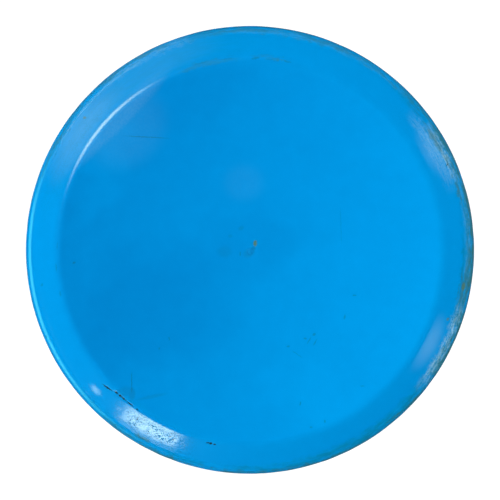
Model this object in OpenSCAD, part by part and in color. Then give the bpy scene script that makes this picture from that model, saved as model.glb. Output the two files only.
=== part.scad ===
// Flying disc, one injection moulding: a thin plate, a sloping shoulder and a thick rim round a hollow.
// Millimetres. It lies as it lands, plate up, with the origin at the middle of the ring that it rests on.

/* [Disc] */
// Overall diameter, at the nose of the rim
disc_d = 230; // [205:1:275]
// Overall height, from the foot of the rim to the crest of the shoulder
disc_h = 26; // [23:0.5:32]

/* [Plate] */
// Radius that rounds the crest, the ring where the plate meets the shoulder
crest_r = 7; // [4:0.5:8]
// How far the middle of the plate sags below the crest
plate_sag = 2.5; // [0.5:0.25:4]
// Thickness of the plate
plate_t = 1.8; // [1.2:0.1:2.6]

/* [Shoulder] */
// Width of the shoulder seen from above, from the crest to the groove at the rim's lip
shoulder_w = 13.25; // [11:0.25:18]
// Slope of the shoulder just outside the crest, in degrees
slope_in = 30; // [24:1:34]
// Slope of the shoulder at the groove, in degrees
slope_out = 37; // [35:1:42]
// Radius that softens the groove
groove_r = 2.5; // [1:0.5:3]
// Thickness of the shoulder
shoulder_t = 2; // [1.4:0.1:2.8]

/* [Rim] */
// Width of the lip seen from above, from the groove to the nose
lip_w = 4.25; // [4:0.25:5]
// Radius of the rounded nose
nose_r = 5; // [4.5:0.25:6]
// Tilt of the lip where it leaves the groove, in degrees
lip_tilt = 20; // [12:1:26]
// How far the outer wall leans in below the nose, in degrees
wall_lean = 3; // [1:0.5:5]
// Thickness of the rim at its foot
foot_t = 3.4; // [3:0.1:4.6]
// Radius of the foot's outer edge
foot_r_out = 1.4; // [0.6:0.1:1.6]
// Radius of the foot's inner edge
foot_r_in = 1; // [0.6:0.1:1.4]
// Radius inside the rim, under the shoulder
root_r = 2.5; // [1:0.5:4]

/* [Gate mark] */
// Diameter of the dimple in the middle of the plate, where the plastic was fed in
dimple_d = 6; // [5:0.5:9]
// Depth of the dimple
dimple_depth = 0.5; // [0.2:0.1:0.6]
// Diameter of the broken stub that stands in the dimple
stub_d = 2.4; // [1.6:0.2:3]
// Height of the stub above the dimple's floor
stub_h = 0.8; // [0.4:0.1:1.2]

/* [Hidden] */
$fn = 180;

nose_x = disc_d / 2;      // radius of the nose from the disc's axis
groove_x = nose_x - lip_w;
crest_x = groove_x - shoulder_w;
dimple_x = dimple_d / 2;
stub_x = stub_d / 2;
dimple_bank = 0.9;        // width of the dimple's sloping side
stub_edge = 0.3;          // rounding at the top of the stub
PLATE_STEPS = 20;         // chords along the plate's sag
SHOULDER_STEPS = 6;       // chords across the shoulder
NOSE_STEPS = 18;          // chords round the nose
CORNER_STEPS = 8;         // chords round a rounded corner

// --- geometry helpers: points are [distance from the axis, height, rounding radius] ---

// The unit vector along v.
function unit(v) = v / norm(v);

// The point at distance r and angle a from centre.
function polar(centre, r, a) = centre + r * [cos(a), sin(a)];

// An angle turned into the range from -180 to 180.
function half_turn(a) = a > 180 ? a - 360 : a < -180 ? a + 360 : a;

// The arc that rounds corner b, between its neighbours a and c, to radius r.
function corner_arc(a, b, c, r) =
    let (
        u = unit(a - b),
        v = unit(c - b),
        half = acos(u * v) / 2,
        centre = b + unit(u + v) * r / sin(half),
        from = b + u * r / tan(half) - centre,
        to = b + v * r / tan(half) - centre,
        start = atan2(from[1], from[0]),
        sweep = half_turn(atan2(to[1], to[0]) - start)
    )
    [for (i = [0:CORNER_STEPS]) polar(centre, r, start + sweep * i / CORNER_STEPS)];

// A point without its rounding radius.
function flat(p) = [p[0], p[1]];

// The path with every corner that has a radius replaced by an arc.
function rounded(path) = [
    for (i = [0:len(path) - 1])
        each (path[i][2] == 0
            ? [flat(path[i])]
            : corner_arc(flat(path[i - 1]), flat(path[i]), flat(path[i + 1]), path[i][2]))
];

// A list back to front.
function reversed(list) = [for (i = [len(list) - 1:-1:0]) list[i]];

// --- the plate: part of a large sphere, lowest in the middle ---

plate_curve = (pow(crest_x, 2) + pow(plate_sag, 2)) / (2 * plate_sag);
plate_edge_slope = asin(crest_x / plate_curve);

// The crest's corner stands a little above disc_h, so that its rounded top is at disc_h.
crest_turn = plate_edge_slope + slope_in;
crest_z = disc_h + crest_r * tan(crest_turn / 2) * sin(plate_edge_slope)
        - crest_r * (1 - cos(plate_edge_slope));

// Height of the plate's upper face at distance x from the axis.
function plate_z(x) = crest_z - plate_sag + plate_curve - sqrt(pow(plate_curve, 2) - x * x);

// Points along the plate from x0 out to the crest, without the crest itself, lowered by drop.
function plate_points(x0, drop) = [
    for (i = [0:PLATE_STEPS - 1])
        let (x = x0 + (crest_x - x0) * i / PLATE_STEPS) [x, plate_z(x) - drop, 0]
];

// --- the gate mark: a stub in a dimple, in the middle of the plate ---

dimple_z = plate_z(0) - dimple_depth;
gate_mark = [
    [0, dimple_z + stub_h, 0],
    [stub_x, dimple_z + stub_h, stub_edge],
    [stub_x + stub_edge, dimple_z, 0],
    [dimple_x - dimple_bank, dimple_z, 0]
];

// --- the shoulder: a shallow arc that steepens from slope_in to slope_out ---

shoulder_curve = (groove_x - crest_x) / (sin(slope_out) - sin(slope_in));

// The point where the shoulder has slope a, at depth below its upper face.
function shoulder_point(a, depth) = [
    crest_x + shoulder_curve * (sin(a) - sin(slope_in)) - depth * sin(a),
    crest_z - shoulder_curve * (cos(slope_in) - cos(a)) - depth * cos(a)
];

// Points across the shoulder between its two ends, at depth below its upper face.
function shoulder_points(depth) = [
    for (i = [1:SHOULDER_STEPS - 1])
        let (a = slope_in + (slope_out - slope_in) * i / SHOULDER_STEPS)
        [each shoulder_point(a, depth), 0]
];

// --- the rim: groove, lip, nose, outer wall and foot ---

groove_z = shoulder_point(slope_out, 0)[1];
nose_centre_x = nose_x - nose_r;
lip_run = nose_centre_x + nose_r * sin(lip_tilt) - groove_x;
nose_z = groove_z - lip_run * tan(lip_tilt) - nose_r * cos(lip_tilt);
nose_end = 90 + wall_lean;
nose_points = [
    for (i = [0:NOSE_STEPS])
        let (tilt = lip_tilt + (nose_end - lip_tilt) * i / NOSE_STEPS)
        [nose_centre_x + nose_r * sin(tilt), nose_z + nose_r * cos(tilt), 0]
];
foot_x = nose_points[NOSE_STEPS][0] - nose_points[NOSE_STEPS][1] * tan(wall_lean);

root = shoulder_point(slope_out, shoulder_t);
crest_under = shoulder_point(slope_in, shoulder_t);

// Half of the disc's section, from its axis over the top, round the rim and back under the plate.
outline = rounded(concat(
    gate_mark,
    plate_points(dimple_x, 0),
    [[crest_x, crest_z, crest_r]],
    shoulder_points(0),
    [[groove_x, groove_z, groove_r]],
    nose_points,
    [[foot_x, 0, foot_r_out]],
    [[foot_x - foot_t, 0, foot_r_in]],
    [[root[0], root[1], root_r]],
    reversed(shoulder_points(shoulder_t)),
    [[crest_under[0], crest_under[1], crest_r - shoulder_t]],
    reversed(plate_points(0, plate_t))
));

// The whole disc, one moulding.
module disc() {
    color("dodgerblue") rotate_extrude() polygon(outline);
}

disc();
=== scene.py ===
"""A played-with flying disc of blue polyethylene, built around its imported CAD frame.

The disc is turned as one fine mesh from the same section as the CAD solid, and is then warped, cut and
worn. Lengths are in metres, written in millimetres times MM. Angles round the disc are in degrees,
anticlockwise from +X as seen from above.
"""
import math
from collections import namedtuple

import bpy
import numpy as np
from mathutils import Euler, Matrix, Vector


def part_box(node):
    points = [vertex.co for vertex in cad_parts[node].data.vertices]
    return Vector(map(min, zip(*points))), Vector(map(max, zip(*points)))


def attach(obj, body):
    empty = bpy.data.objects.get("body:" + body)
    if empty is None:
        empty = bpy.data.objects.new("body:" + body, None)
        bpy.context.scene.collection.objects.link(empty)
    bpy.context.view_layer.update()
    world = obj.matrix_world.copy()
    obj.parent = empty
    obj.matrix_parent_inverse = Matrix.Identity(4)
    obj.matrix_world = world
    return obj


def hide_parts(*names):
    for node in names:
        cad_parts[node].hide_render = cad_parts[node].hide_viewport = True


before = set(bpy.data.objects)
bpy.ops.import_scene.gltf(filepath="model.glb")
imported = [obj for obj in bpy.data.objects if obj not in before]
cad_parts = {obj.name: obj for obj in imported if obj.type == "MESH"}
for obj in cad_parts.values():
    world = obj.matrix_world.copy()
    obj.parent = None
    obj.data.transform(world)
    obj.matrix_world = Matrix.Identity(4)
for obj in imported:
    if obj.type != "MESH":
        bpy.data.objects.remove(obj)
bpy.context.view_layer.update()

MM = 0.001

# --- the disc's dimensions: the outer ones from the frame, the rest as in the CAD part ---

DISC_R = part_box("disc")[1].x
DISC_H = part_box("disc")[1].z
CREST_R = 7 * MM
PLATE_SAG = 2.5 * MM
PLATE_T = 1.8 * MM
SHOULDER_W = 13.25 * MM
SLOPE_IN = math.radians(30)
SLOPE_OUT = math.radians(37)
GROOVE_R = 2.5 * MM
SHOULDER_T = 2 * MM
LIP_W = 4.25 * MM
NOSE_R = 5 * MM
LIP_TILT = math.radians(20)
WALL_LEAN = math.radians(3)
FOOT_T = 3.4 * MM
FOOT_R_OUT = 1.4 * MM
FOOT_R_IN = 1 * MM
ROOT_R = 2.5 * MM
DIMPLE_R = 3 * MM
DIMPLE_DEPTH = 0.3 * MM        # the gate mark hardly shows: shallower and gentler than in the CAD part
DIMPLE_BANK = 1.4 * MM
STUB_R = 1.2 * MM
STUB_H = 0.35 * MM
STUB_EDGE = 0.3 * MM

GROOVE_X = DISC_R - LIP_W
CREST_X = GROOVE_X - SHOULDER_W
PLATE_CURVE = (CREST_X ** 2 + PLATE_SAG ** 2) / (2 * PLATE_SAG)
PLATE_EDGE = math.asin(CREST_X / PLATE_CURVE)
CREST_Z = (
    DISC_H
    + CREST_R * math.tan((PLATE_EDGE + SLOPE_IN) / 2) * math.sin(PLATE_EDGE)
    - CREST_R * (1 - math.cos(PLATE_EDGE))
)

# --- fineness of the mesh ---

SEGMENTS = 640                 # vertices round the rim; halved four times towards the middle
SEGMENTS_HOLLOW = 320          # the same inside the hollow
SEGMENTS_LEAST = 40            # round the gate mark
NARROWEST = 0.45 * MM          # a ring's faces are at least this wide, down to that least number
PLATE_STEP = 2.4 * MM          # between rings on the plate and the outer wall
HOLLOW_STEP = 4 * MM           # between rings in the hollow
SHOULDER_STEPS = 20
SHOULDER_ENDS = 4              # of those steps left out at each end, where a rounded corner takes over
ARC_STEP = math.radians(3)     # smallest turn between rings on a rounded corner
ARC_LENGTH = 0.3 * MM          # shortest step between rings on a rounded corner

# --- marks of play ---

SEED = 7
WARPS = (                      # bends of the thin plate: waves round the disc, strength, direction
    (1, 0.60 * MM, 60),
    (2, 0.50 * MM, 20),
    (3, 0.24 * MM, 200),
)
CUTS = (                       # angle, radius, turn from the rim's direction, length, width, depth, in mm
    (223.6, 100.0, 12, 8.0, 0.9, 0.22),
    (226.5, 98.5, 0, 2.0, 1.4, 0.22),
    (227.9, 98.4, 0, 1.6, 1.4, 0.25),
    (229.3, 98.3, 0, 2.0, 1.3, 0.25),
    (228.8, 98.3, 0, 9.0, 0.8, 0.15),
    (231.6, 98.3, 0, 6.0, 0.7, 0.20),
    (234.4, 98.4, 0, 1.6, 0.9, 0.15),
    (236.0, 102.7, 80, 2.8, 0.7, 0.12),
    (247.8, 103.4, 55, 3.2, 0.8, 0.12),
    (246.6, 102.6, 20, 2.0, 0.6, 0.10),
    (258.4, 99.5, 0, 1.8, 1.2, 0.30),
    (257.6, 99.4, 0, 2.6, 0.7, 0.20),
    (259.6, 99.6, 0, 2.0, 0.6, 0.20),
    (23.7, 109.5, -60, 2.8, 0.7, 0.12),
)
NICKS = 90                     # small dents round the lip and the nose
NICK_REACH = 4.5 * MM          # how far along the section they lie from the nose
NICK_LENGTH = 2.6 * MM
NICK_WIDTH = 1.5 * MM
NICK_DEPTH = 0.22 * MM
NICK_LEAST = 0.3               # size of the smallest nick, as a share of the largest
ABRASION_DEPTH = 0.12 * MM     # how deep the nose is rubbed away at most
ABRASION_REACH = 3.5 * MM
ABRASION_WAVES = 130           # patches of abrasion round the rim
ABRASION_STEP = 1.6 * MM       # and the length of one across it

# --- colours, linear red, green and blue ---

# the plastic's deep and pale blues; on the plate, painted light and shade moves the colour between them
DEEP_BLUE = (0, 0.235, 0.64, 1)
PALE_BLUE = (0, 0.365, 0.88, 1)
# a film of dirt, and painted shade along the lip on the right and below
FILM_AND_SHADE_COLOUR = (0.002, 0.21, 0.39, 1)
# dirt, and painted shade along the outer edge on the right and below
GRIME_AND_SHADE_COLOUR = (0.035, 0.17, 0.2, 1)
# painted highlight: the bright line along the lip on the left
PAINTED_LIP_HIGHLIGHT_COLOUR = (0.04, 0.58, 1, 1)
# whitish scuffs; the same colour paints the sheen of the lamps on the plate
SCUFF_AND_SHEEN_COLOUR = (0.3, 0.6, 0.82, 1)
SCRATCH_COLOUR = (0.01, 0.1, 0.16, 1)
BROWN_COLOUR = (0.07, 0.2, 0.18, 1)
# painted shade in the pits, where they break the highlight
PIT_SHADE_COLOUR = (0, 0.08, 0.2, 1)
CUT_COLOUR = (0.01, 0.03, 0.04, 1)

# --- marks drawn in the plastic's colour and gloss, in millimetres and degrees ---

PAINTED_SHADE_AREAS = (                 # painted shade, darker: x, y, heading, length, width, strength, as up to MATT_SPOTS
    (-50, -30, 32, 130, 80, 0.2),
    (0, 0, 40, 70, 55, 0.15),
    (-28, 80, 10, 90, 45, 0.1),
)
PAINTED_LIGHT_AREAS = (               # painted light, paler
    (-75, 45, 60, 70, 40, 0.22),
    (40, -75, -30, 90, 40, 0.1),
)
SCRATCHES = (                  # scratches and smudges
    (-52, 58, -3, 29, 0.7, 0.45),
    (46, 13.5, 92, 24, 0.6, 0.2),
    (-60, -66, 90, 13, 0.7, 0.42),
    (-60, -70, 90, 5, 1.2, 0.4),
    (24, -52, -34, 8, 0.5, 0.3),
    (-64, -71, 20, 12, 7, 0.14),
    (-89, -5.5, 20, 2.5, 1.4, 0.45),
    (-41, -44, 100, 2.5, 0.7, 0.4),
    (-46, -49, 60, 2, 0.9, 0.3),
    (53, -22, 0, 2.4, 1.2, 0.4),
    (48, -33, 80, 3.4, 1.2, 0.35),
    (32.5, -42, 20, 2.5, 1.8, 0.4),
    (30, -45, 60, 5, 0.8, 0.35),
    (33, -46, 60, 5, 0.8, 0.35),
    (28, -44, 0, 2, 1.2, 0.35),
    (19.5, -48, 0, 2, 1.2, 0.35),
    (25.5, -77, 80, 3, 1, 0.4),
    (38, -86, 90, 2.5, 1, 0.4),
    (31, -89, 0, 2, 1.2, 0.35),
    (57, -68, 0, 3, 1, 0.2),
    (2.8, 97.6, 10, 6, 1.4, 0.35),
    (10, 97, -5, 5, 1, 0.25),
    (19, 95.8, -12, 5, 1.2, 0.3),
    (-12, 97.3, 7, 11, 1, 0.22),
    (-25, 95, 15, 9, 1, 0.22),
    (-98, -8, 95, 6, 1, 0.25),
    (-97.5, 3, 85, 5, 0.8, 0.22),
    (-96, -21, 100, 4, 1.2, 0.25),
    (-106, -17, 60, 2.4, 1.6, 0.3),
    (-0.5, -0.5, 30, 8, 6, 0.22),
    (1.6, 1.6, 30, 4, 3, 0.25),
    (-5, -1, 90, 3, 0.9, 0.4),
    (-4.5, 12, 30, 4, 3, 0.16),
    (-10, 8, 0, 3, 2.4, 0.14),
    (-13, 0, 0, 10, 8, 0.1),
    (-50, -73.5, 12, 20, 2.4, 0.14),
    (-60, -72, 90, 9, 5, 0.2),
)
BROWN_SPOTS = (
    (2.6, 4.3, 90, 4.2, 2.6, 1.0),
    (100.8, -34.5, 40, 2.6, 2, 0.7),
    (-84, 68, 0, 2.2, 1.8, 0.7),
    (109, -18, 80, 6, 3, 1.0),
)
# painted sheen: whitish reflections of the lamps on the plate, up and left of the middle and above it
PAINTED_SHEEN_AREAS = (
    (-62, 62, 45, 55, 45, 0.04),
    (-67, 66.5, 45, 84, 14, 0.13),
    (-3, 35, 0, 27, 25, 0.022),
)
MATT_SPOTS = (                 # places without gloss
    (0, 0, 0, 11, 11, 1.0),
)
FILM_AND_SHADE_PATCHES = (               # a thin even film of dirt, and painted shade along the lip on the right and below: angle, spread, radius, width, strength, as in the rest
    (325, 70, 113.5, 12, 0.9),
    (285, 30, 113.5, 9, 0.7),
    (20, 40, 113, 10, 0.7),
    (80, 45, 113.5, 8, 0.4),
    (240, 30, 113.5, 8, 0.6),
    (128, 48, 105, 18, 0.22),
    (130, 45, 112, 6, 0.3),
    (352, 16, 110, 6, 0.7),
)
MATT_PATCHES = (               # where the gloss is gone, though the colour isn't
    (240, 30, 113.5, 8, 1.0),
    (243, 26, 111.2, 4.6, 1.0),
    (140, 40, 112.5, 6, 0.9),
)
GRIME_AND_SHADE_PATCHES = (              # dirt in streaks, and painted shade along the outer edge on the right and below
    (335, 40, 114.5, 5, 0.8),
    (285, 25, 115, 5, 0.8),
    (345, 25, 112, 5, 0.4),
    (25, 20, 110.8, 2.6, 0.6),
    (0, 55, 114, 5, 0.9),
    (65, 55, 113, 5, 0.35),
    (350, 6, 110.5, 6, 0.6),
    (250, 26, 114.5, 4, 0.9),
    (240, 3, 110.5, 3, 0.7),
    (31, 6, 110, 5, 0.6),
    (84, 7, 98.5, 2.5, 0.5),
    (103, 12, 97.5, 4, 0.3),
    (135, 35, 113.5, 4, 0.5),
)
SCUFF_PATCHES = (              # whitish scuffs
    (27, 10, 110.5, 6, 0.75),
    (29, 14, 107, 9, 0.3),
    (334, 15, 110.8, 7, 0.85),
    (5, 35, 111.5, 5, 0.15),
    (75, 35, 112, 4, 0.08),
    (118, 16, 112, 6, 0.3),
)
PIT_PATCHES = (                # where the pits are deep, and painted darker as shade where they break the highlight
    (241, 16, 104, 20, 1.0),
    (148, 25, 104, 20, 0.25),
    (30, 20, 106, 16, 0.2),
)
PAINTED_LIP_HIGHLIGHT_PATCHES = (           # painted highlight: a bright line along the lip on the left
    (197, 50, 112.5, 2.2, 1.0),
)

# --- the plastic's noise, fading, painted light and shade, and gloss, and how the marks lie on it ---

Texture = namedtuple("Texture", "scale detail roughness low high")    # noise: 0 below low, 1 above high

STREAKY = Texture(0.6, 5, 0.65, 0.38, 0.58)
BRUSHED = Texture(1.1, 4, 0.6, 0.4, 0.62)
SPECKLE = Texture(0.9, 4, 0.7, 0.42, 0.6)
PITTED = Texture(1.5, 4, 0.65, 0.48, 0.6)
PIT_GROUPS = Texture(0.3, 2, 0.5, 0.3, 0.6)
STREAK = 18                    # the streaks on the rim run round it, several times as long as wide
STREAK_ACROSS = 0.7            # how fast they change across the rim, per mm
RAGGED = 6                     # how far the edges of the patches on the rim wander, in mm
RAGGED_NOISE = (0.22, 4, 0.65)
UNEVEN_SCALE = 1.2             # noise that moves the edges of the small marks
UNEVEN_SHIFT = 0.9
MARK_CORE = 0.4                # share of a mark that has its full strength
BAND_CORE = 0.2                # the same across a patch on the rim
FAINTEST_Z = 5                    # height in mm up to which dirt and painted shade are weakest
STRONGEST_Z = 14                   # and from which they are full
FOOT_SHARE = 0.15               # share of the dirt and painted shade that is left at the foot
CUT_MARGIN = 0.2               # mm by which a cut's dark colour is larger than the cut
CUT_DARKEST = 0.2              # depth in mm from which a cut is fully dark
CLOUD_SCALE = 0.03             # noise that moves the edges of the painted light and shade areas
CLOUD_SHIFT = 50
PAINTED_LIGHT_RIGHT = 0.0034            # painted light: how much paler the plate is painted for each mm to the right
PAINTED_LIGHT_BACK = -0.0012            # and to the back
FADE_LEVEL = 0.64              # how faded the plastic is on the whole
PLATE_PAINTED_SHADE = 0.14             # painted shade: how much darker the plate is painted than the shoulder
PLATE_FULL = 94                # radius in mm up to which the plate's painted light and shade are full
PLATE_ENDS = 101               # and from which there is none of it
GRAIN = 0.3                    # fine unevenness of the colour
GRAIN_NOISE = (0.15, 5, 0.65)
FILM_STREAKS = 0.6             # how far streaks thin the film and its painted shade
SHEEN_SPECKLE = 0.4             # how far speckle thins the painted sheen
SCUFF_SPECKLE = 0.4            # share of speckle in the scuffs; the rest is brushed
PITS_KEPT_TO_PATCHES = 0.95    # how much shallower the pits are away from PIT_PATCHES
RUBBED_FROM = 0.2              # how worn the mesh is where dirt starts to stick
RUBBED_FULL = 0.8              # and where it is full
RUBBED_DIRT = 0.5              # how dirty worn places are
PIT_SHADE = 0.6                 # how dark the pits are painted, as shade where they break the highlight
BUMP_HEIGHT = 0.006 * MM
PEEL_NOISE = (0.9, 2)          # the moulded skin's fine bumps
WAVE_NOISE = (0.08, 1)         # its slow waves
WAVE_HEIGHT = 4                # height of the waves, as a multiple of the fine bumps
PIT_DEPTH = 1.5                # depth of the pits, the same
ROUGHNESS = 0.42
DULL_ROUGHNESS = 0.25          # added where the gloss is gone
COAT_ROUGHNESS = 0.08
SPECULAR = 0.03

# --- the stage ---

CAMERA_DISTANCE = 0.9
CAMERA_LEAN = 2.25             # degrees from straight above, towards +Y
CAMERA_AIM = 0.5 * MM          # how far behind the middle, towards +Y, the camera aims
DISC_SHARE = 0.897             # of the picture's width that the disc fills
SENSOR = 36                    # the camera sensor's width, in its own millimetres
FLOOR_SIZE = 12
PALE = 1.1                     # brightness of the floor and the backdrop
# All but side_front_right began as a least-squares fit to the photo, and were then changed.
SOFT_LIGHTS = (                # name, shape, azimuth, elevation, distance, width, height, radiance
    ("overhead", "RECTANGLE", 0, 52, 1.3, 1.6, 1.0, 3.4),
    ("side_back", "RECTANGLE", 90, 15, 1.3, 0.8, 0.8, 2.4),
    ("side_back_left", "RECTANGLE", 135, 15, 1.3, 0.8, 0.8, 3.5),
    ("side_left", "RECTANGLE", 180, 15, 1.3, 0.8, 0.8, 3.5),
    ("side_front_left", "RECTANGLE", 225, 15, 1.3, 0.8, 0.8, 5.5),
    ("side_front_right", "RECTANGLE", 315, 15, 1.3, 0.8, 0.8, 0.5),
)
WINDOW_COLOUR = (0.85, 1, 0.72)
WINDOWS = (                    # the same and the edges' softness, for lights that only show in the gloss
    ("window_front_left", "RECTANGLE", 241.6, 18.5, 2.0, 0.64, 0.7, 10.5, 0.38),
    ("glow_front_left", "ELLIPSE", 241.5, 16, 2.0, 0.95, 0.8, 1.4, 1.0),
    ("lamp_front_left", "ELLIPSE", 223.5, 13, 2.0, 0.12, 0.11, 4.5, 0.3),
    ("window_left", "ELLIPSE", 146, 16, 2.0, 1.4, 0.8, 1.7, 1.0),
    ("window_back_left", "ELLIPSE", 122, 17, 2.0, 2.0, 0.8, 0.45, 1.0),
    ("window_left_high", "ELLIPSE", 142, 45, 2.0, 1.3, 1.5, 10, 1.0),
    ("glow_left", "ELLIPSE", 202, 6, 2.0, 2.0, 0.25, 1.6, 0.8),
    ("window_right", "ELLIPSE", 27, 15.5, 2.0, 0.6, 0.6, 0.95, 0.8),
    ("window_front_right", "ELLIPSE", 331, 17, 2.0, 0.7, 0.5, 1.2, 0.9),
    ("horizon_right", "RECTANGLE", 0, 3, 2.0, 4, 0.26, 0.32, 1.0),
    ("horizon_back", "RECTANGLE", 90, 3, 2.0, 4, 0.26, 0.32, 1.0),
    ("horizon_left", "RECTANGLE", 180, 3, 2.0, 4, 0.26, 0.32, 1.0),
    ("horizon_front", "RECTANGLE", 270, 3, 2.0, 4, 0.26, 0.32, 1.0),
)

# --- the section: points are (distance from the axis, height) ---

def point(x, z):
    return np.array((x, z), float)


def unit(v):
    return v / np.linalg.norm(v)


def polar(centre, radius, angle):
    return centre + radius * point(math.cos(angle), math.sin(angle))


def arc_steps(radius, sweep):
    """How many steps an arc takes: as fine as ARC_STEP, but none shorter than ARC_LENGTH."""
    return math.ceil(min(abs(sweep) / ARC_STEP, abs(sweep) * radius / ARC_LENGTH))


def corner_arc(a, b, c, radius):
    """Points of the arc that rounds corner b, between its neighbours a and c."""
    u, v = unit(a - b), unit(c - b)
    half = math.acos(u @ v) / 2
    centre = b + unit(u + v) * radius / math.sin(half)
    start = b + u * radius / math.tan(half) - centre
    end = b + v * radius / math.tan(half) - centre
    first = math.atan2(start[1], start[0])
    sweep = math.remainder(math.atan2(end[1], end[0]) - first, math.tau)
    steps = arc_steps(radius, sweep)
    return [polar(centre, radius, first + sweep * i / steps) for i in range(steps + 1)]


def rounded(path):
    """The points of path, a list of (point, corner radius), with its corners rounded."""
    made = []
    for i, (here, radius) in enumerate(path):
        if radius == 0:
            made.append(here)
        else:
            made += corner_arc(path[i - 1][0], here, path[i + 1][0], radius)
    return made


def spaced(points, longest):
    """The same line with its long steps divided."""
    made = [points[0]]
    for a, b in zip(points, points[1:]):
        steps = math.ceil(np.linalg.norm(b - a) / longest)
        made += [a + (b - a) * i / steps for i in range(1, steps + 1)]
    return made


def plate_z(x):
    """Height of the dished plate's upper face."""
    return CREST_Z - PLATE_SAG + PLATE_CURVE - math.sqrt(PLATE_CURVE ** 2 - x * x)


def plate_points(first, drop, step):
    """Points from distance first out towards the crest, at drop below the upper face."""
    count = math.ceil((CREST_X - first) / step)
    places = [first + (CREST_X - first) * i / count for i in range(count)]
    return [(point(x, plate_z(x) - drop), 0) for x in places]


def shoulder_point(slope, depth):
    """The point where the shoulder has that slope, at depth below its upper face."""
    curve = SHOULDER_W / (math.sin(SLOPE_OUT) - math.sin(SLOPE_IN))
    return point(
        CREST_X + curve * (math.sin(slope) - math.sin(SLOPE_IN)) - depth * math.sin(slope),
        CREST_Z - curve * (math.cos(SLOPE_IN) - math.cos(slope)) - depth * math.cos(slope),
    )


def shoulder_points(depth):
    """Points across the shoulder, short of its ends, at depth below its upper face."""
    turn = (SLOPE_OUT - SLOPE_IN) / SHOULDER_STEPS
    steps = range(SHOULDER_ENDS, SHOULDER_STEPS - SHOULDER_ENDS + 1)
    return [(shoulder_point(SLOPE_IN + turn * i, depth), 0) for i in steps]


def gate_points():
    """The broken stub in its dimple, in the middle of the plate."""
    floor = plate_z(0) - DIMPLE_DEPTH
    return [
        (point(0, floor + STUB_H), 0),
        (point(STUB_R, floor + STUB_H), STUB_EDGE),
        (point(STUB_R + STUB_EDGE, floor), 0),
        (point(DIMPLE_R - DIMPLE_BANK, floor), 0),
    ]


def nose_points():
    """The rounded nose, from the lip to the top of the outer wall."""
    middle_x = DISC_R - NOSE_R
    lip_run = middle_x + NOSE_R * math.sin(LIP_TILT) - GROOVE_X
    lip_end = shoulder_point(SLOPE_OUT, 0)[1] - lip_run * math.tan(LIP_TILT)
    middle = point(middle_x, lip_end - NOSE_R * math.cos(LIP_TILT))
    sweep = math.pi / 2 + WALL_LEAN - LIP_TILT
    steps = arc_steps(NOSE_R, sweep)
    tilts = [LIP_TILT + sweep * i / steps for i in range(steps + 1)]
    return [(polar(middle, NOSE_R, math.pi / 2 - tilt), 0) for tilt in tilts]


def skin_line():
    """The outer skin of half a section, from the axis over the rim to the middle of the foot."""
    nose = nose_points()
    wall_x, wall_z = nose[-1][0]
    foot_x = wall_x - wall_z * math.tan(WALL_LEAN)
    path = gate_points() + plate_points(DIMPLE_R, 0, PLATE_STEP)
    path += [(point(CREST_X, CREST_Z), CREST_R)]
    path += shoulder_points(0)
    path += [(shoulder_point(SLOPE_OUT, 0), GROOVE_R)]
    path += nose
    path += [(point(foot_x, 0), FOOT_R_OUT), (point(foot_x - FOOT_T / 2, 0), 0)]
    return spaced(rounded(path), PLATE_STEP)


def hollow_line(foot):
    """The rest of the half section, from the middle of the foot through the hollow to the axis."""
    path = [(foot, 0), (point(foot[0] - FOOT_T / 2, 0), FOOT_R_IN)]
    path += [(shoulder_point(SLOPE_OUT, SHOULDER_T), ROOT_R)]
    path += shoulder_points(SHOULDER_T)[::-1]
    path += [(shoulder_point(SLOPE_IN, SHOULDER_T), CREST_R - SHOULDER_T)]
    path += plate_points(0, PLATE_T, HOLLOW_STEP)[::-1]
    return spaced(rounded(path), HOLLOW_STEP)[1:]


# --- the mesh: rings of vertices round the axis, stitched together ---

def ring_size(x, most):
    """How many vertices a ring has: the number is halved where its faces would be too narrow."""
    if x == 0:
        return 1
    count = most
    while count > SEGMENTS_LEAST and math.tau * x / count < NARROWEST:
        count //= 2
    return count


def normals(line):
    """Unit vectors at right angles to a line, on its left: outwards for a line that runs clockwise."""
    along = np.gradient(line, axis=0)
    across = np.stack((-along[:, 1], along[:, 0]), axis=1)
    return across / np.linalg.norm(across, axis=1)[:, None]


def stitched(few, many):
    """Faces between two rings of vertices. The second ring has as many as the first, twice as many, or
    any number if the first is one vertex on the axis."""
    if len(few) == 1:
        return [(few[0], a, b) for a, b in zip(many, many[1:] + many[:1])]
    following = few[1:] + few[:1]
    if len(few) == len(many):
        return [(a, c, d, b) for a, b, c, d in zip(few, following, many, many[1:] + many[:1])]
    faces = []
    for i, (a, b) in enumerate(zip(few, following)):
        c, d, e = many[2 * i], many[2 * i + 1], many[(2 * i + 2) % len(many)]
        faces += [(a, c, d), (a, d, b), (b, d, e)]
    return faces


def lathe_faces(sizes):
    """All faces of a closed lathe whose rings have these numbers of vertices, each facing outwards."""
    starts = np.cumsum([0] + sizes)
    rings = [list(range(start, start + size)) for start, size in zip(starts, sizes)]
    faces = []
    for a, b in zip(rings, rings[1:]):
        if len(a) <= len(b):
            faces += stitched(a, b)
        else:
            faces += [face[::-1] for face in stitched(b, a)]
    return faces


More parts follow.
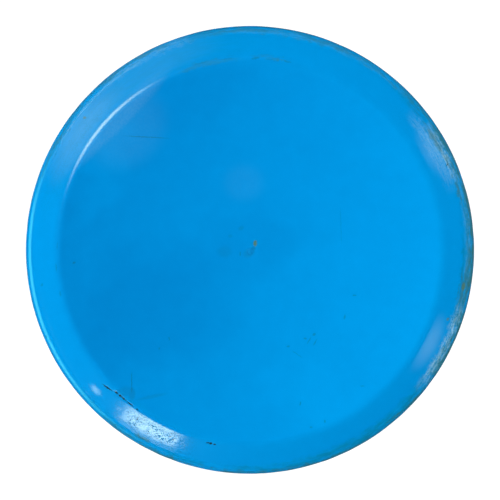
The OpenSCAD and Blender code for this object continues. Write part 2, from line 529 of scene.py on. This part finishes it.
class Lathe:
    """The disc's vertices as arrays: which way each faces, how far out it is, and where round the rim."""

    def __init__(self):
        skin = skin_line()
        hollow = hollow_line(skin[-1])
        line = np.array(skin + hollow)
        sizes = [ring_size(x, SEGMENTS) for x in line[: len(skin), 0]]
        sizes += [ring_size(x, SEGMENTS_HOLLOW) for x in line[len(skin):, 0]]
        steps = np.linalg.norm(np.diff(line, axis=0), axis=1)
        run = np.concatenate(([0], np.cumsum(steps)))
        facing = normals(line)
        ring = np.repeat(np.arange(len(sizes)), sizes)
        self.angle = np.concatenate([np.arange(size) * 360 / size for size in sizes])
        self.x, self.z = line[ring].T
        self.facing_x, self.facing_z = facing[ring].T
        self.run = run[ring]
        self.nose_run = run[np.argmax(line[:, 0])]
        self.hollow = (ring >= len(skin)).astype(float)
        self.faces = lathe_faces(sizes)

    def turned_from(self, angle):
        """How far round each vertex is from that angle, from -180 to 180."""
        return (self.angle - angle + 180) % 360 - 180

    def press_in(self, depth):
        """Moves every vertex inwards by its depth."""
        self.x = self.x - depth * self.facing_x
        self.z = self.z - depth * self.facing_z

    def positions(self):
        turn = np.radians(self.angle)
        return np.stack((self.x * np.cos(turn), self.x * np.sin(turn), self.z), axis=1)


def stroke(lathe, angle, radius, skew, length, width):
    """How far inside a stroke on the outer skin each vertex is, seen from above, from 0 to 1."""
    turn, heading = math.radians(angle), math.radians(angle + 90 + skew)
    off = lathe.positions()[:, :2] - radius * point(math.cos(turn), math.sin(turn))
    along = off @ point(math.cos(heading), math.sin(heading)) / (length / 2)
    across = off @ point(-math.sin(heading), math.cos(heading)) / (width / 2)
    return np.exp(-(along ** 4) - across ** 2) * (1 - lathe.hollow)


def nick(lathe, angle, run, length, width):
    """The same for a nick that follows the rim, at a distance along the section."""
    along = lathe.turned_from(angle) * lathe.x * math.radians(1) / (length / 2)
    across = (lathe.run - run) / (width / 2)
    return np.exp(-(along ** 4) - across ** 2)


def eased(t):
    return t * t * (3 - 2 * t)


def rim_noise(lathe, random):
    """Smooth noise from 0 to 1 in patches, the same at both ends of its turn round the rim."""
    grid = random.random((int(lathe.run.max() / ABRASION_STEP) + 2, ABRASION_WAVES))
    row, column = lathe.run / ABRASION_STEP, lathe.angle / 360 * ABRASION_WAVES
    i, j = row.astype(int), column.astype(int)
    s, t = eased(row - i), eased(column - j)
    following = (j + 1) % ABRASION_WAVES
    near = grid[i, j] * (1 - t) + grid[i, following] * t
    far = grid[i + 1, j] * (1 - t) + grid[i + 1, following] * t
    return near * (1 - s) + far * s


def warp_plate(lathe):
    """Bends the plate up and down a little between its middle and the crest, which both stay in place."""
    share = np.clip(lathe.x / CREST_X, 0, 1)
    for waves, strength, direction in WARPS:
        turn = np.radians(lathe.turned_from(direction))
        lathe.z = lathe.z + strength * share ** waves * (1 - share ** 2) ** 2 * np.cos(waves * turn)


def wear_rim(lathe):
    """Rubs the nose away in patches and nicks it, and returns how worn each vertex is, from 0 to 1."""
    random = np.random.default_rng(SEED)
    rubbed = rim_noise(lathe, random) ** 2 * np.exp(-(((lathe.run - lathe.nose_run) / ABRASION_REACH) ** 2))
    lathe.press_in(ABRASION_DEPTH * rubbed)
    for _ in range(NICKS):
        angle = random.random() * 360
        run = lathe.nose_run + (2 * random.random() - 1) * NICK_REACH
        size = NICK_LEAST + (1 - NICK_LEAST) * random.random() ** 2
        mask = nick(lathe, angle, run, NICK_LENGTH * size, NICK_WIDTH * size)
        lathe.press_in(NICK_DEPTH * size * mask)
        rubbed = np.maximum(rubbed, mask * size)
    return rubbed


def cut_skin(lathe):
    """Cuts the gouges in the outer skin."""
    for angle, radius, skew, length, width, depth in CUTS:
        mask = stroke(lathe, angle, radius * MM, skew, length * MM, width * MM)
        lathe.press_in(depth * MM * mask)


def disc_mesh():
    lathe = Lathe()
    warp_plate(lathe)
    rubbed = wear_rim(lathe)
    cut_skin(lathe)
    mesh = bpy.data.meshes.new("disc_moulding")
    mesh.from_pydata(lathe.positions().tolist(), [], lathe.faces)
    mesh.shade_smooth()
    for name, values in (("rubbed", rubbed), ("hollow", lathe.hollow)):
        mesh.attributes.new(name, "FLOAT", "POINT").data.foreach_set("value", values)
    return mesh


# --- materials ---

class Nodes:
    """Adds shader nodes to one tree, linking or setting their inputs."""

    def __init__(self, tree):
        self.tree = tree

    def add(self, kind, inputs=(), **settings):
        made = self.tree.nodes.new("ShaderNode" + kind)
        for name, value in settings.items():
            setattr(made, name, value)
        for key, value in dict(inputs).items():
            self.put(made.inputs[key], value)
        return made

    def put(self, socket, value):
        if isinstance(value, bpy.types.NodeSocket):
            self.tree.links.new(value, socket)
        else:
            socket.default_value = value

    def math(self, operation, *values):
        return self.add("Math", enumerate(values), operation=operation).outputs[0]

    def product(self, first, *others):
        for other in others:
            first = self.math("MULTIPLY", first, other)
        return first

    def vector(self, operation, *values):
        return self.add("VectorMath", enumerate(values), operation=operation).outputs[0]

    def length(self, vector):
        return self.add("VectorMath", {0: vector}, operation="LENGTH").outputs["Value"]

    def split(self, vector):
        return self.add("SeparateXYZ", {0: vector}).outputs

    def strongest(self, first, *others):
        for other in others:
            first = self.math("MAXIMUM", first, other)
        return first

    def thinned(self, mask, share):
        """1 where the mask is 1, and less by share where it is 0."""
        return self.math("MULTIPLY_ADD", mask, share, 1 - share)

    def noise(self, place, scale, detail=2.0, roughness=0.5):
        inputs = {"Vector": place, "Scale": scale, "Detail": detail, "Roughness": roughness}
        return self.add("TexNoise", inputs).outputs["Fac"]

    def texture(self, place, texture):
        grain = self.noise(place, texture.scale, texture.detail, texture.roughness)
        return self.rise(grain, texture.low, texture.high)

    def swing(self, place, noise, amount, middle):
        """Noise that swings by half of amount to either side of middle."""
        grain = self.math("SUBTRACT", self.noise(place, *noise), 0.5)
        return self.math("MULTIPLY_ADD", grain, amount, middle)

    def rise(self, value, low, high, top=1.0):
        """0 up to low and top from high, smoothly between, or the other way round if low is above high."""
        inputs = {"Value": value, "From Min": low, "From Max": high, "To Max": top}
        return self.add("MapRange", inputs, interpolation_type="SMOOTHSTEP").outputs[0]

    def mix(self, share, below, above):
        return self.add("Mix", {0: share, 6: below, 7: above}, data_type="RGBA").outputs[2]

    def attribute(self, name):
        return self.add("Attribute", attribute_name=name).outputs["Fac"]


Spot = namedtuple("Spot", "place flat radius edge angle streaks top high")
WearAndShade = namedtuple("WearAndShade", "film grime scuff haze scratch brown cut pits polished rubbed matt")


def disc_spot(nodes):
    """Where a point of the disc is, in millimetres and degrees.

    edge is the radius with noise in it, top is 1 on the outer skin, and high is how strong dirt and painted
    shade are there.
    """
    place = nodes.vector("MULTIPLY", nodes.add("TexCoord").outputs["Object"], (1 / MM,) * 3)
    flat = nodes.vector("MULTIPLY", place, (1, 1, 0))
    x, y, z = nodes.split(place)
    radius = nodes.length(flat)
    angle = nodes.product(nodes.math("ARCTAN2", y, x), math.degrees(1))
    out = nodes.vector("MULTIPLY", nodes.vector("NORMALIZE", flat), (STREAK, STREAK, 0))
    across = nodes.product(nodes.math("SUBTRACT", radius, z), STREAK_ACROSS)
    streaks = nodes.vector("ADD", out, nodes.add("CombineXYZ", {"Z": across}).outputs[0])
    edge = nodes.swing(nodes.vector("ADD", out, flat), RAGGED_NOISE, RAGGED, radius)
    top = nodes.math("SUBTRACT", 1, nodes.attribute("hollow"))
    climb = nodes.rise(z, FAINTEST_Z, STRONGEST_Z, 1 - FOOT_SHARE)
    high = nodes.product(nodes.math("ADD", climb, FOOT_SHARE), top)
    return Spot(place, flat, radius, edge, angle, streaks, top, high)


def rim_patch(nodes, spot, across, angle, spread, radius, width):
    """A soft patch on the rim, within spread degrees of angle and half of width from radius.

    across is the coordinate that radius and width are measured in.
    """
    turn = nodes.math("WRAP", nodes.math("SUBTRACT", spot.angle, angle), 180, -180)
    along = nodes.rise(nodes.math("ABSOLUTE", turn), spread, spread * MARK_CORE)
    off = nodes.math("ABSOLUTE", nodes.math("SUBTRACT", across, radius))
    return nodes.product(along, nodes.rise(off, width / 2, width / 2 * BAND_CORE))


def mark_group():
    """A node group that adds one soft ellipse to a mask of marks."""
    group = bpy.data.node_groups.new("mark", "ShaderNodeTree")
    for name in ("Place", "Centre", "Size"):
        group.interface.new_socket(name, in_out="INPUT", socket_type="NodeSocketVector")
    for name in ("Heading", "Strength", "Below"):
        group.interface.new_socket(name, in_out="INPUT", socket_type="NodeSocketFloat")
    group.interface.new_socket("Mask", in_out="OUTPUT", socket_type="NodeSocketFloat")
    nodes = Nodes(group)
    given = group.nodes.new("NodeGroupInput").outputs
    off = nodes.vector("SUBTRACT", given["Place"], given["Centre"])
    inputs = {"Vector": off, "Angle": given["Heading"]}
    turned = nodes.add("VectorRotate", inputs, rotation_type="Z_AXIS", invert=True).outputs[0]
    reach = nodes.length(nodes.vector("DIVIDE", turned, given["Size"]))
    mask = nodes.product(nodes.rise(reach, 1.0, MARK_CORE), given["Strength"])
    result = group.nodes.new("NodeGroupOutput")
    nodes.put(result.inputs["Mask"], nodes.math("MAXIMUM", mask, given["Below"]))
    return group


def marks(nodes, group, place, table):
    """The mask of all the marks in a table of (x, y, heading, length, width, strength)."""
    mask = 0.0
    for x, y, heading, length, width, strength in table:
        one = nodes.add("Group", node_tree=group)
        nodes.put(one.inputs["Place"], place)
        one.inputs["Centre"].default_value = (x, y, 0)
        one.inputs["Size"].default_value = (length / 2, width / 2, 1)
        one.inputs["Heading"].default_value = math.radians(heading)
        one.inputs["Strength"].default_value = strength
        nodes.put(one.inputs["Below"], mask)
        mask = one.outputs["Mask"]
    return mask


def jittered(nodes, place, scale, amount):
    """The place moved about by noise, so that what is drawn there has uneven edges."""
    wobble = nodes.add("TexNoise", {"Vector": place, "Scale": scale}).outputs["Color"]
    shift = nodes.vector("MULTIPLY", nodes.vector("SUBTRACT", wobble, (0.5,) * 3), (amount, amount, 0))
    return nodes.vector("ADD", place, shift)


def rim_marks(nodes, spot, across, table):
    """The strongest of the rim patches in a table of (angle, spread, radius, width, strength)."""
    mask = 0.0
    for angle, spread, radius, width, strength in table:
        patch = rim_patch(nodes, spot, across, angle, spread, radius, width)
        mask = nodes.math("MAXIMUM", mask, nodes.product(patch, strength))
    return mask


def plastic_and_painted_shade(nodes, group, spot):
    """Blue plastic with a fine uneven grain, and on the plate painted light and shade: paler to the right,
    and darker below and left of the middle.
    """
    cloudy = jittered(nodes, spot.flat, CLOUD_SCALE, CLOUD_SHIFT)
    x, y, _ = nodes.split(cloudy)
    # painted light and shade on the plate: paler to the right and up and left, darker below and left of the
    # middle
    painted_light_and_shade = nodes.math("MULTIPLY_ADD", x, PAINTED_LIGHT_RIGHT, nodes.product(y, PAINTED_LIGHT_BACK))
    painted_light_and_shade = nodes.math("ADD", painted_light_and_shade, marks(nodes, group, cloudy, PAINTED_LIGHT_AREAS))
    painted_light_and_shade = nodes.math("SUBTRACT", painted_light_and_shade, marks(nodes, group, cloudy, PAINTED_SHADE_AREAS))
    painted_light_and_shade = nodes.math("SUBTRACT", painted_light_and_shade, PLATE_PAINTED_SHADE)
    on_plate = nodes.rise(spot.radius, PLATE_ENDS, PLATE_FULL)
    tone_and_shade = nodes.math("MULTIPLY_ADD", painted_light_and_shade, on_plate, FADE_LEVEL)
    tone_and_shade = nodes.swing(spot.place, GRAIN_NOISE, GRAIN, tone_and_shade)
    return nodes.mix(tone_and_shade, DEEP_BLUE, PALE_BLUE)


def cut_table():
    """The gouges as marks: x, y, heading, length, width, strength."""
    table = []
    for angle, radius, skew, length, width, depth in CUTS:
        turn = math.radians(angle)
        place = (radius * math.cos(turn), radius * math.sin(turn))
        size = (length + CUT_MARGIN, width + CUT_MARGIN)
        table.append((*place, angle + 90 + skew, *size, min(1, depth / CUT_DARKEST)))
    return table


def wear_and_shade_masks(nodes, group, spot):
    """How strong each kind of wear, dirt, painted highlight and painted shade is, from 0 to 1."""
    uneven = jittered(nodes, spot.flat, UNEVEN_SCALE, UNEVEN_SHIFT)
    streaky = nodes.texture(spot.streaks, STREAKY)
    speckle = nodes.texture(spot.place, SPECKLE)
    brushed = nodes.product(nodes.texture(spot.streaks, BRUSHED), 1 - SCUFF_SPECKLE)
    scuffed = nodes.math("MULTIPLY_ADD", speckle, SCUFF_SPECKLE, brushed)
    # a film of dirt, and painted shade along the lip on the right and below
    film = rim_marks(nodes, spot, spot.edge, FILM_AND_SHADE_PATCHES)
    # dirt in streaks, and painted shade along the outer edge on the right and below
    grime = rim_marks(nodes, spot, spot.edge, GRIME_AND_SHADE_PATCHES)
    scuff = rim_marks(nodes, spot, spot.edge, SCUFF_PATCHES)
    # painted sheen: the lamps' reflections on the plate
    haze = marks(nodes, group, uneven, PAINTED_SHEEN_AREAS)
    scratch = marks(nodes, group, uneven, SCRATCHES)
    brown = marks(nodes, group, uneven, BROWN_SPOTS)
    cut = marks(nodes, group, uneven, cut_table())
    deep = nodes.thinned(rim_marks(nodes, spot, spot.radius, PIT_PATCHES), PITS_KEPT_TO_PATCHES)
    pits = nodes.product(nodes.texture(spot.place, PITTED), nodes.texture(spot.place, PIT_GROUPS))
    # painted highlight along the lip on the left
    polished = rim_marks(nodes, spot, spot.radius, PAINTED_LIP_HIGHLIGHT_PATCHES)
    matt_rim = rim_marks(nodes, spot, spot.radius, MATT_PATCHES)
    matt = nodes.strongest(matt_rim, marks(nodes, group, spot.flat, MATT_SPOTS))
    return WearAndShade(
        film=nodes.product(film, nodes.thinned(streaky, FILM_STREAKS), spot.high),
        grime=nodes.product(grime, streaky, spot.high),
        scuff=nodes.product(scuff, scuffed, spot.high),
        haze=nodes.product(haze, spot.top, nodes.thinned(speckle, SHEEN_SPECKLE)),
        scratch=nodes.product(scratch, spot.top),
        brown=nodes.product(brown, spot.top),
        cut=nodes.product(cut, spot.top),
        pits=nodes.product(deep, pits, spot.top),
        polished=nodes.product(polished, spot.top),
        rubbed=nodes.rise(nodes.attribute("rubbed"), RUBBED_FROM, RUBBED_FULL),
        matt=nodes.product(matt, spot.top),
    )


def worn_and_shaded_colour(nodes, colour, wear_and_shade):
    """The plastic's colour under the layers of wear, dirt, painted highlights and painted shade, from the
    lowest to the highest.
    """
    # the bright lip line and the sheen are painted highlights; the film, the grime and the pits also paint
    # shade
    layers = (
        (wear_and_shade.polished, PAINTED_LIP_HIGHLIGHT_COLOUR),
        (wear_and_shade.film, FILM_AND_SHADE_COLOUR),
        (nodes.strongest(wear_and_shade.scuff, wear_and_shade.haze), SCUFF_AND_SHEEN_COLOUR),
        (wear_and_shade.grime, GRIME_AND_SHADE_COLOUR),
        (nodes.product(wear_and_shade.rubbed, RUBBED_DIRT), GRIME_AND_SHADE_COLOUR),
        (wear_and_shade.scratch, SCRATCH_COLOUR),
        (wear_and_shade.brown, BROWN_COLOUR),
        # painted shade: pits darkened where they break the highlight
        (nodes.product(wear_and_shade.pits, PIT_SHADE), PIT_SHADE_COLOUR),
        (wear_and_shade.cut, CUT_COLOUR),
    )
    for mask, layer in layers:
        colour = nodes.mix(mask, colour, layer)
    return colour


def skin_bump(nodes, spot, wear_and_shade):
    """The moulded skin's fine bumps and slow waves, with the pits sunk in it."""
    peel = nodes.noise(spot.place, *PEEL_NOISE)
    wave = nodes.noise(spot.place, *WAVE_NOISE)
    skin = nodes.math("MULTIPLY_ADD", wave, WAVE_HEIGHT, peel)
    height = nodes.math("SUBTRACT", skin, nodes.product(wear_and_shade.pits, PIT_DEPTH))
    return nodes.add("Bump", {"Height": height, "Strength": 1.0, "Distance": BUMP_HEIGHT}).outputs[0]


def disc_plastic():
    material = bpy.data.materials.new("disc_plastic")
    material.use_nodes = True
    nodes = Nodes(material.node_tree)
    spot = disc_spot(nodes)
    group = mark_group()
    wear_and_shade = wear_and_shade_masks(nodes, group, spot)
    dull = nodes.strongest(wear_and_shade.grime, wear_and_shade.cut, wear_and_shade.pits, wear_and_shade.film, wear_and_shade.matt)
    bump = skin_bump(nodes, spot, wear_and_shade)
    colour = worn_and_shaded_colour(nodes, plastic_and_painted_shade(nodes, group, spot), wear_and_shade)

    shader = material.node_tree.nodes["Principled BSDF"]
    nodes.put(shader.inputs["Base Color"], colour)
    nodes.put(shader.inputs["Roughness"], nodes.math("MULTIPLY_ADD", dull, DULL_ROUGHNESS, ROUGHNESS))
    nodes.put(shader.inputs["Coat Weight"], nodes.math("SUBTRACT", 1, dull))
    shader.inputs["Coat Roughness"].default_value = COAT_ROUGHNESS
    shader.inputs["Specular IOR Level"].default_value = SPECULAR
    nodes.put(shader.inputs["Normal"], bump)
    nodes.put(shader.inputs["Coat Normal"], bump)
    return material


def floor_paint():
    material = bpy.data.materials.new("floor_paint")
    material.use_nodes = True
    shader = material.node_tree.nodes["Principled BSDF"]
    shader.inputs["Base Color"].default_value = (0, 0, 0, 1)
    shader.inputs["Roughness"].default_value = 1
    shader.inputs["Specular IOR Level"].default_value = 0
    shader.inputs["Emission Color"].default_value = (1, 1, 1, 1)
    shader.inputs["Emission Strength"].default_value = PALE
    return material


# --- the stage ---

def add(name, data):
    made = bpy.data.objects.new(name, data)
    bpy.context.scene.collection.objects.link(made)
    return made


def add_floor():
    half = FLOOR_SIZE / 2
    corners = [(-half, -half, 0), (half, -half, 0), (half, half, 0), (-half, half, 0)]
    mesh = bpy.data.meshes.new("floor")
    mesh.from_pydata(corners, [], [(0, 1, 2, 3)])
    mesh.materials.append(floor_paint())
    floor = add("floor", mesh)
    floor.visible_glossy = False
    floor.visible_diffuse = False


def add_camera():
    data = bpy.data.cameras.new("camera")
    data.sensor_width = SENSOR
    data.lens = DISC_SHARE * SENSOR * CAMERA_DISTANCE / (2 * DISC_R)
    camera = add("camera", data)
    camera.rotation_euler = Euler((-math.radians(CAMERA_LEAN), 0, 0))
    back = camera.rotation_euler.to_matrix() @ Vector((0, 0, 1))
    camera.location = Vector((0, CAMERA_AIM, DISC_H / 2)) + back * CAMERA_DISTANCE
    bpy.context.scene.camera = camera


def add_light(name, shape, azimuth, elevation, distance, width, height, radiance):
    """A flat light that faces the disc, level with the floor along its width."""
    data = bpy.data.lights.new(name, "AREA")
    data.shape = shape
    data.size = width
    data.size_y = height
    data.energy = radiance * math.pi * width * height
    light = add(name, data)
    turn = math.radians(azimuth)
    rise = math.radians(elevation)
    out = Vector((math.cos(turn) * math.cos(rise), math.sin(turn) * math.cos(rise), math.sin(rise)))
    light.location = out * distance
    light.rotation_euler = out.to_track_quat("Z", "Y").to_euler()
    light.visible_camera = False
    return light


def soften(data, softness):
    """Makes a light fade towards its edges, over that share of its half width."""
    data.use_nodes = True
    nodes = Nodes(data.node_tree)
    place = nodes.add("NewGeometry").outputs["Parametric"]
    across = nodes.vector("MULTIPLY_ADD", place, (2, 2, 0), (-1, -1, 0))
    if data.shape == "ELLIPSE":
        reach = nodes.length(across)
    else:
        x, y, _ = nodes.split(nodes.vector("ABSOLUTE", across))
        reach = nodes.strongest(x, y)
    nodes.put(data.node_tree.nodes["Emission"].inputs["Strength"], nodes.rise(reach, 1, 1 - softness))


def add_lights():
    for settings in SOFT_LIGHTS:
        light = add_light(*settings)
        light.visible_glossy = False
        light.data.cycles.use_multiple_importance_sampling = False
    for *settings, softness in WINDOWS:
        light = add_light(*settings)
        light.data.color = WINDOW_COLOUR
        light.visible_diffuse = False
        soften(light.data, softness)


def add_world():
    """A pale backdrop beyond the floor, which doesn't light the disc."""
    world = bpy.data.worlds.new("world")
    world.use_nodes = True
    background = world.node_tree.nodes["Background"]
    background.inputs["Color"].default_value = (1, 1, 1, 1)
    background.inputs["Strength"].default_value = PALE
    world.cycles_visibility.diffuse = False
    world.cycles_visibility.glossy = False
    bpy.context.scene.world = world


# --- the build ---

disc = add("disc_moulding", disc_mesh())
disc.data.materials.append(disc_plastic())
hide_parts("disc")
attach(disc, "root")

add_floor()
add_camera()
add_lights()
add_world()
bpy.context.scene.view_settings.view_transform = "Standard"
